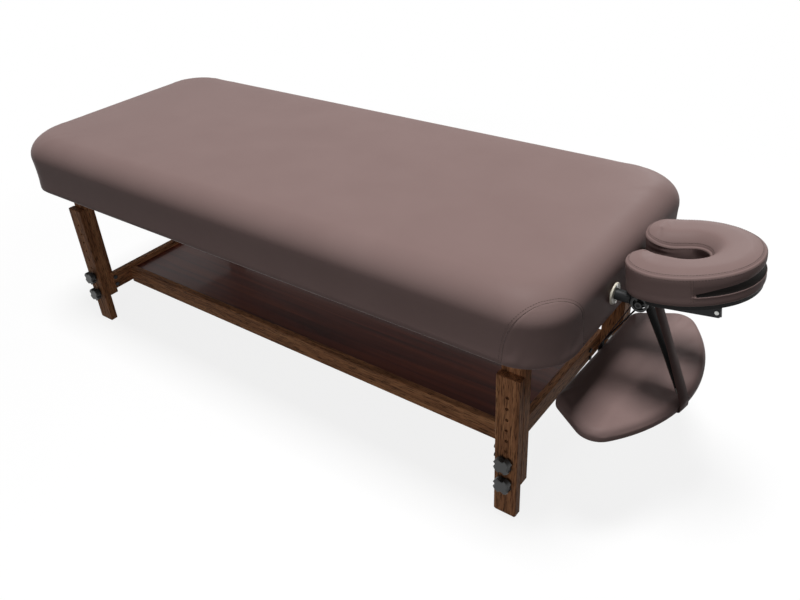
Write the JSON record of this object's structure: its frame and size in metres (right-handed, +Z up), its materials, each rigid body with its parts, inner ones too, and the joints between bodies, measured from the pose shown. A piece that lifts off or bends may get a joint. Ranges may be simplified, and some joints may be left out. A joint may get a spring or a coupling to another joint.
{
  "type": "treatment table",
  "caption": "Stationary padded treatment table with height-adjustable wooden legs, lower shelf, tilting horseshoe headrest and an arm shelf hung on straps.",
  "frame": {"origin": "on the floor, midway between the foot end of the top and the far end of the headrest, on the table's centre line", "axes": "+X towards the headrest, +Y to the side away from the camera in the picture, +Z up"},
  "size_m": [2.1203, 0.76, 0.6887],
  "materials": {
    "upholstery": "dark brown grained vinyl, soft sheen",
    "foam": "open-cell foam",
    "carcass_wood": "unfinished timber and board",
    "walnut_wood": "walnut-stained, satin lacquer",
    "shelf_veneer": "dark red-brown veneer, high gloss",
    "black_board": "black painted board",
    "black_plastic": "moulded, satin",
    "ivory_plastic": "moulded, smooth",
    "black_steel": "black powder coat",
    "bright_steel": "zinc-plated",
    "webbing": "flat woven webbing",
    "grey_plastic": "moulded tab"
  },
  "bodies": {
    "frame": {"pad_cover": "upholstery", "foam_core": "foam", "deck_panel": "carcass_wood", "apron_near": "carcass_wood", "apron_far": "carcass_wood", "apron_foot": "carcass_wood", "apron_head": "carcass_wood", "corner_blocks": "carcass_wood", "deck_ribs": "carcass_wood", "leg_bearer_head": "carcass_wood", "leg_bearer_foot": "carcass_wood", "post_guide": "carcass_wood", "inner_leg_head_near": "walnut_wood", "inner_leg_head_far": "walnut_wood", "inner_leg_foot_near": "walnut_wood", "inner_leg_foot_far": "walnut_wood", "stretcher_head": "walnut_wood", "stretcher_foot": "walnut_wood", "shelf_rail_near": "walnut_wood", "shelf_rail_far": "walnut_wood", "shelf_panel": "shelf_veneer", "grommets": "ivory_plastic", "leg_washers": "black_steel", "leg_bolts": "bright_steel", "stretcher_screws": "bright_steel", "bearer_screws": "bright_steel", "rail_screws": "bright_steel", "grommet_screws": "bright_steel"},
    "leg_head_near": {"outer_leg_head_near": "walnut_wood"},
    "leg_knob_head_near_lower": {"leg_knob_head_near_lower": "black_plastic"},
    "leg_knob_head_near_upper": {"leg_knob_head_near_upper": "black_plastic"},
    "leg_head_far": {"outer_leg_head_far": "walnut_wood"},
    "leg_knob_head_far_lower": {"leg_knob_head_far_lower": "black_plastic"},
    "leg_knob_head_far_upper": {"leg_knob_head_far_upper": "black_plastic"},
    "leg_foot_near": {"outer_leg_foot_near": "walnut_wood"},
    "leg_knob_foot_near_lower": {"leg_knob_foot_near_lower": "black_plastic"},
    "leg_knob_foot_near_upper": {"leg_knob_foot_near_upper": "black_plastic"},
    "leg_foot_far": {"outer_leg_foot_far": "walnut_wood"},
    "leg_knob_foot_far_lower": {"leg_knob_foot_far_lower": "black_plastic"},
    "leg_knob_foot_far_upper": {"leg_knob_foot_far_upper": "black_plastic"},
    "headrest_base": {"post_near": "black_steel", "post_far": "black_steel", "post_pins": "bright_steel", "crossbar": "black_steel", "pivot_rod": "bright_steel", "pivot_nut": "bright_steel"},
    "headrest": {"headrest_arm_near": "black_steel", "headrest_arm_far": "black_steel", "arm_cleats": "black_steel", "arm_rivets": "bright_steel", "cleat_screws": "bright_steel", "headrest_platform": "black_board", "face_cushion": "upholstery"},
    "headrest_knob": {"headrest_knob": "black_plastic"},
    "arm_shelf": {"arm_board": "black_board", "arm_pad": "upholstery", "strap_tabs": "grey_plastic", "strap_front": "webbing", "strap_rear": "webbing"}
  },
  "joints": [
    {"name": "leg_head_near_height", "type": "slide", "parent": "frame", "child": "leg_head_near", "axis": [0, 0, -1], "range_m": [0, 0.192]},
    {"name": "leg_knob_head_near_lower_turn", "type": "hinge", "parent": "frame", "child": "leg_knob_head_near_lower", "pos_m": [0.659, -0.3215, 0.108], "axis": [0, -1, 0], "continuous": true},
    {"name": "leg_knob_head_near_upper_turn", "type": "hinge", "parent": "frame", "child": "leg_knob_head_near_upper", "pos_m": [0.659, -0.3215, 0.172], "axis": [0, -1, 0], "continuous": true},
    {"name": "leg_head_far_height", "type": "slide", "parent": "frame", "child": "leg_head_far", "axis": [0, 0, -1], "range_m": [0, 0.192]},
    {"name": "leg_knob_head_far_lower_turn", "type": "hinge", "parent": "frame", "child": "leg_knob_head_far_lower", "pos_m": [0.659, 0.3215, 0.108], "axis": [0, 1, 0], "continuous": true},
    {"name": "leg_knob_head_far_upper_turn", "type": "hinge", "parent": "frame", "child": "leg_knob_head_far_upper", "pos_m": [0.659, 0.3215, 0.172], "axis": [0, 1, 0], "continuous": true},
    {"name": "leg_foot_near_height", "type": "slide", "parent": "frame", "child": "leg_foot_near", "axis": [0, 0, -1], "range_m": [0, 0.192]},
    {"name": "leg_knob_foot_near_lower_turn", "type": "hinge", "parent": "frame", "child": "leg_knob_foot_near_lower", "pos_m": [-0.929, -0.3215, 0.108], "axis": [0, -1, 0], "continuous": true},
    {"name": "leg_knob_foot_near_upper_turn", "type": "hinge", "parent": "frame", "child": "leg_knob_foot_near_upper", "pos_m": [-0.929, -0.3215, 0.172], "axis": [0, -1, 0], "continuous": true},
    {"name": "leg_foot_far_height", "type": "slide", "parent": "frame", "child": "leg_foot_far", "axis": [0, 0, -1], "range_m": [0, 0.192]},
    {"name": "leg_knob_foot_far_lower_turn", "type": "hinge", "parent": "frame", "child": "leg_knob_foot_far_lower", "pos_m": [-0.929, 0.3215, 0.108], "axis": [0, 1, 0], "continuous": true},
    {"name": "leg_knob_foot_far_upper_turn", "type": "hinge", "parent": "frame", "child": "leg_knob_foot_far_upper", "pos_m": [-0.929, 0.3215, 0.172], "axis": [0, 1, 0], "continuous": true},
    {"name": "headrest_reach", "type": "slide", "parent": "frame", "child": "headrest_base", "axis": [1, 0, 0], "range_m": [0, 0.09]},
    {"name": "headrest_tilt", "type": "hinge", "parent": "headrest_base", "child": "headrest", "pos_m": [0.851, 0, 0.56], "axis": [0, 1, 0], "range_deg": [-5, 40]},
    {"name": "headrest_knob_turn", "type": "hinge", "parent": "headrest_base", "child": "headrest_knob", "pos_m": [0.851, -0.098, 0.56], "axis": [0, -1, 0], "continuous": true},
    {"name": "arm_shelf_swing", "type": "hinge", "parent": "headrest_base", "child": "arm_shelf", "pos_m": [0.851, 0, 0.56], "axis": [0, 1, 0], "range_deg": [-30, 10]}
  ]
}
